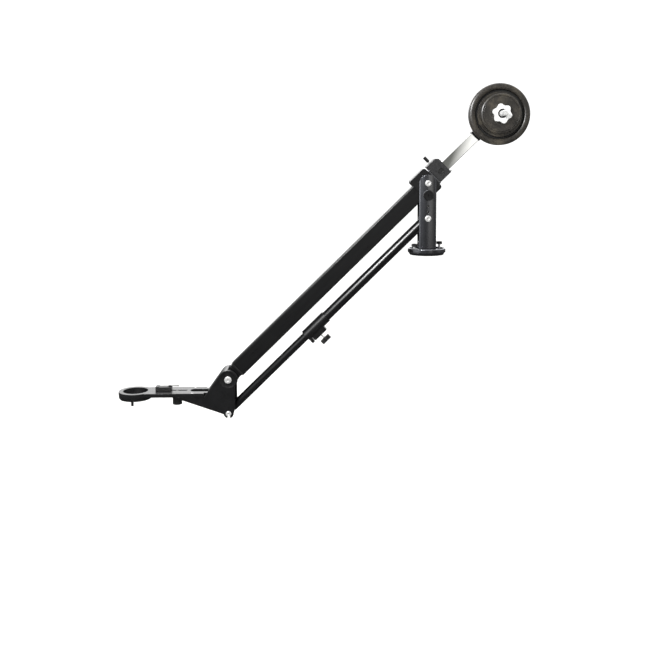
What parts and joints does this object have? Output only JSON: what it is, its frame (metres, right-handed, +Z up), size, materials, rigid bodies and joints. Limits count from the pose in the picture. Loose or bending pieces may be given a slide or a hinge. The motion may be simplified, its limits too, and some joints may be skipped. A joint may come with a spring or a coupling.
{
  "type": "camera jib crane",
  "caption": "Short telescoping camera jib arm on a panning column, with a parallel control rod, a camera bowl platform and disc counterweights.",
  "frame": {"origin": "centre of the base flange's flat underside, at the mouth of its tripod screw hole", "axes": "+Z up along the pan axis, +X towards the counterweights, -X towards the camera platform, -Y the side with the tilt lock knob and the weights' star knob"},
  "size_m": [1.2438, 0.187, 1.0041],
  "materials": {
    "black_anodised": "satin black anodised",
    "column_anodised": "glossy dark grey anodised",
    "cast_black": "satin black paint on cast aluminium",
    "black_plastic": "fine matt",
    "cast_iron": "machined, grey-brown paint",
    "polished_steel": "polished",
    "bright_zinc": "bright zinc plate",
    "bronze": "sintered bronze",
    "pale_plastic": "acetal"
  },
  "bodies": {
    "base": {"base_flange": "column_anodised", "thrust_washer": "pale_plastic", "pan_retaining_screw": "bright_zinc"},
    "column": {"turntable_disc": "column_anodised", "pan_bush": "bronze", "column_fork": "column_anodised", "column_foot_screw_1": "bright_zinc", "column_foot_screw_2": "bright_zinc", "upper_grub_screw": "bright_zinc", "lower_grub_screw": "bright_zinc", "tilt_pivot_bolt": "bright_zinc", "tilt_pivot_nut": "bright_zinc", "rod_rear_bolt": "bright_zinc", "rod_rear_nut": "bright_zinc"},
    "pan_lock": {"pan_lock_knob": "black_plastic"},
    "pan_drag": {"pan_drag_knob": "black_plastic"},
    "tilt_lock": {"tilt_lock_knob": "black_plastic"},
    "boom": {"pivot_block": "cast_black", "tilt_sleeve": "bronze", "arm_outer_tube": "black_anodised", "arm_guide_bush": "black_plastic", "neck_plate": "column_anodised", "weight_bar_clamp": "cast_black", "clamp_side_plug": "black_plastic", "clamp_screw_1": "bright_zinc", "clamp_screw_2": "bright_zinc"},
    "arm_lock": {"arm_lock_knob": "black_plastic"},
    "bar_thumb": {"bar_thumb_screw": "black_plastic"},
    "weight_carriage": {"weight_bar": "polished_steel", "weight_shaft_block": "cast_black", "weight_shaft": "bright_zinc", "weight_shaft_nut": "bright_zinc", "large_weight": "cast_iron", "small_weight": "cast_iron", "weight_washer": "bright_zinc"},
    "weight_star": {"weight_star_knob": "polished_steel"},
    "inner_arm": {"arm_inner_tube": "black_anodised", "arm_end_eye": "cast_black", "head_sleeve": "bronze"},
    "head": {"head_bracket": "cast_black", "camera_platform": "cast_black", "platform_screw_near": "bright_zinc", "platform_screw_far": "bright_zinc", "ring_peg": "black_plastic", "head_pivot_bolt": "bright_zinc", "head_pivot_nut": "bright_zinc", "rod_front_bolt": "bright_zinc", "rod_front_nut": "bright_zinc", "latch_housing": "black_plastic", "latch_screw": "bright_zinc"},
    "latch_arm": {"latch_lever": "bright_zinc"},
    "camera_screw": {"camera_screw_washer": "bright_zinc"},
    "camera_knob": {"camera_screw_knob": "black_plastic"},
    "rod_outer": {"rod_outer_tube": "black_anodised", "rod_rear_eye": "cast_black", "rod_clamp_sleeve": "cast_black"},
    "rod_clamp": {"rod_clamp_knob": "black_plastic"},
    "rod_inner": {"rod_inner_tube": "black_anodised", "rod_front_eye": "cast_black"}
  },
  "joints": [
    {"name": "pan", "type": "hinge", "parent": "base", "child": "column", "pos_m": [0, 0, 0.012], "axis": [0, 0, 1], "continuous": true},
    {"name": "pan_lock_turn", "type": "hinge", "parent": "column", "child": "pan_lock", "pos_m": [-0.039, -0.02, 0.03], "axis": [0, 0, 1], "range_deg": [0, 300]},
    {"name": "pan_drag_turn", "type": "hinge", "parent": "column", "child": "pan_drag", "pos_m": [0.041, 0.02, 0.033], "axis": [0, 0, 1], "range_deg": [0, 300]},
    {"name": "tilt_lock_turn", "type": "hinge", "parent": "column", "child": "tilt_lock", "pos_m": [0, -0.038, 0.181], "axis": [0, 1, 0], "range_deg": [0, 300]},
    {"name": "boom_tilt", "type": "hinge", "parent": "column", "child": "boom", "pos_m": [0, 0, 0.216], "axis": [0, 1, 0], "range_deg": [-3, 92]},
    {"name": "arm_lock_turn", "type": "hinge", "parent": "boom", "child": "arm_lock", "pos_m": [-0.54643, 0.028, -0.31724], "axis": [0, 1, 0], "range_deg": [0, 300]},
    {"name": "bar_thumb_turn", "type": "hinge", "parent": "boom", "child": "bar_thumb", "pos_m": [0.00033, 0, 0.28339], "axis": [-0.6984, 0, 0.7157], "range_deg": [0, 300]},
    {"name": "weight_bar_trim", "type": "slide", "parent": "boom", "child": "weight_carriage", "axis": [0.7157, 0, 0.6984], "range_m": [0, 0.03]},
    {"name": "weight_star_turn", "type": "hinge", "parent": "weight_carriage", "child": "weight_star", "pos_m": [0.20755, -0.08, 0.41854], "axis": [0, 1, 0], "range_deg": [0, 300]},
    {"name": "arm_extend", "type": "slide", "parent": "boom", "child": "inner_arm", "axis": [-0.7157, 0, -0.6984], "range_m": [0, 0.38]},
    {"name": "head_level", "type": "hinge", "parent": "inner_arm", "child": "head", "pos_m": [-0.60583, 0, -0.37521], "axis": [0, 1, 0], "range_deg": [-92, 3]},
    {"name": "latch_lever_turn", "type": "hinge", "parent": "head", "child": "latch_arm", "pos_m": [-0.78833, 0, -0.40221], "axis": [0, 0, 1], "range_deg": [0, 90]},
    {"name": "camera_screw_slide", "type": "slide", "parent": "head", "child": "camera_screw", "axis": [1, 0, 0], "range_m": [-0.024, 0.026]},
    {"name": "camera_screw_turn", "type": "hinge", "parent": "camera_screw", "child": "camera_knob", "pos_m": [-0.76683, 0, -0.44521], "axis": [0, 0, 1], "continuous": true},
    {"name": "rod_tilt", "type": "hinge", "parent": "column", "child": "rod_outer", "pos_m": [0, 0, 0.111], "axis": [0, 1, 0], "range_deg": [-3, 92]},
    {"name": "rod_clamp_turn", "type": "hinge", "parent": "rod_outer", "child": "rod_clamp", "pos_m": [-0.3079, 0, -0.25933], "axis": [-0.6984, 0, 0.7157], "range_deg": [0, 300]},
    {"name": "rod_extend", "type": "slide", "parent": "rod_outer", "child": "rod_inner", "axis": [-0.7157, 0, -0.6984], "range_m": [0, 0.38]}
  ],
  "couplings": [
    {"joint": "rod_tilt", "follows": "boom_tilt", "ratio": 1},
    {"joint": "head_level", "follows": "boom_tilt", "ratio": -1},
    {"joint": "rod_extend", "follows": "arm_extend", "ratio": 1}
  ]
}
